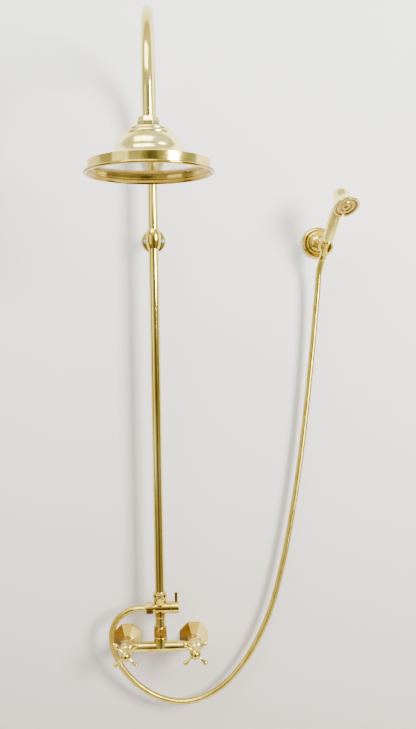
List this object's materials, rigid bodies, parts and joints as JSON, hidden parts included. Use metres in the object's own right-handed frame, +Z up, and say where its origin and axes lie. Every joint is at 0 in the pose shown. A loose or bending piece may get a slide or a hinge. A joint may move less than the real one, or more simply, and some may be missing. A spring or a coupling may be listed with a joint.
{
  "type": "rainfall shower column",
  "caption": "Wall-mounted brass shower column: two-handle valve, diverter, riser with swan neck and tilting rain head, and a hand shower on a metal hose with its holder.",
  "frame": {"origin": "on the wall's surface, midway between the two water inlets", "axes": "+X right as seen from the room, +Y into the wall, +Z up along the riser"},
  "size_m": [0.5434, 0.563, 1.4564],
  "materials": {
    "polished_brass": "polished, unlacquered",
    "pale_brass": "polished, pale",
    "copper_toned": "polished, reddish patina",
    "hose_brass": "interlocked metal hose, satin",
    "plate_mirror": "mirror-polished nozzle plate",
    "ceramic": "lapped ceramic discs",
    "rubber_seal": "moulded seal",
    "steel_fixing": "stainless fixings"
  },
  "bodies": {
    "column": {"hot_inlet_connector": "polished_brass", "hot_escutcheon": "polished_brass", "hot_union_nut": "polished_brass", "hot_headwork": "polished_brass", "cold_inlet_connector": "polished_brass", "cold_escutcheon": "polished_brass", "cold_union_nut": "polished_brass", "cold_headwork": "polished_brass", "inlet_washers": "rubber_seal", "fixed_discs": "ceramic", "valve_body": "polished_brass", "outlet_union_nut": "copper_toned", "outlet_washer": "rubber_seal", "extension_tube": "polished_brass", "diverter_body": "polished_brass", "diverter_sleeve": "polished_brass", "compression_nut": "polished_brass", "compression_olive": "copper_toned", "riser_pipe": "polished_brass", "swan_neck": "polished_brass", "bracket_flange": "polished_brass", "bracket_collar": "polished_brass", "bracket_screws": "steel_fixing", "arm_ball": "polished_brass", "holder_base": "steel_fixing", "holder_screws": "steel_fixing", "holder_flange": "polished_brass", "holder_cradle": "polished_brass", "grub_screws": "steel_fixing", "hose_tube": "hose_brass", "hose_inlet_nut": "polished_brass", "hose_inlet_ferrule": "polished_brass", "hose_inlet_washer": "rubber_seal"},
    "hot_tap": {"hot_moving_disc": "ceramic", "hot_spindle": "polished_brass", "hot_handle": "polished_brass", "hot_handle_screw": "steel_fixing", "hot_index_cap": "polished_brass"},
    "cold_tap": {"cold_moving_disc": "ceramic", "cold_spindle": "polished_brass", "cold_handle": "polished_brass", "cold_handle_screw": "steel_fixing", "cold_index_cap": "polished_brass"},
    "diverter_tap": {"diverter_spool": "ceramic", "diverter_knob": "polished_brass", "diverter_lever": "copper_toned"},
    "ball_seat": {"ball_seat_washer": "rubber_seal"},
    "rain_head": {"swivel_nut": "pale_brass", "head_shell": "pale_brass", "head_rim": "pale_brass", "head_gasket": "rubber_seal", "nozzle_plate": "plate_mirror"},
    "hose_end": {"hose_end_nut": "polished_brass", "hose_end_ferrule": "polished_brass", "hose_end_washer": "rubber_seal"},
    "handset": {"handset_tail": "polished_brass", "handset_handle": "pale_brass", "handset_head": "pale_brass", "handset_face": "polished_brass", "face_screw": "copper_toned"}
  },
  "joints": [
    {"name": "hot_handle_turn", "type": "hinge", "parent": "column", "child": "hot_tap", "pos_m": [-0.075, -0.106, 0], "axis": [0, -1, 0], "range_deg": [0, 90]},
    {"name": "cold_handle_turn", "type": "hinge", "parent": "column", "child": "cold_tap", "pos_m": [0.075, -0.106, 0], "axis": [0, 1, 0], "range_deg": [0, 90]},
    {"name": "diverter_turn", "type": "hinge", "parent": "column", "child": "diverter_tap", "pos_m": [0.0355, -0.06, 0.087], "axis": [1, 0, 0], "range_deg": [0, 90]},
    {"name": "head_tilt", "type": "hinge", "parent": "column", "child": "ball_seat", "pos_m": [0, -0.419, 1.062], "axis": [1, 0, 0], "range_deg": [-7, 7]},
    {"name": "head_roll", "type": "hinge", "parent": "ball_seat", "child": "rain_head", "pos_m": [0, -0.419, 1.062], "axis": [0, 1, 0], "range_deg": [-7, 7]},
    {"name": "handset_lift", "type": "slide", "parent": "column", "child": "hose_end", "axis": [0.2041, -0.4502, 0.8693], "range_m": [0, 0.07]},
    {"name": "handset_twist", "type": "hinge", "parent": "hose_end", "child": "handset", "pos_m": [0.37692, -0.0835, 0.89728], "axis": [0.2041, -0.4502, 0.8693], "range_deg": [-60, 60]}
  ]
}
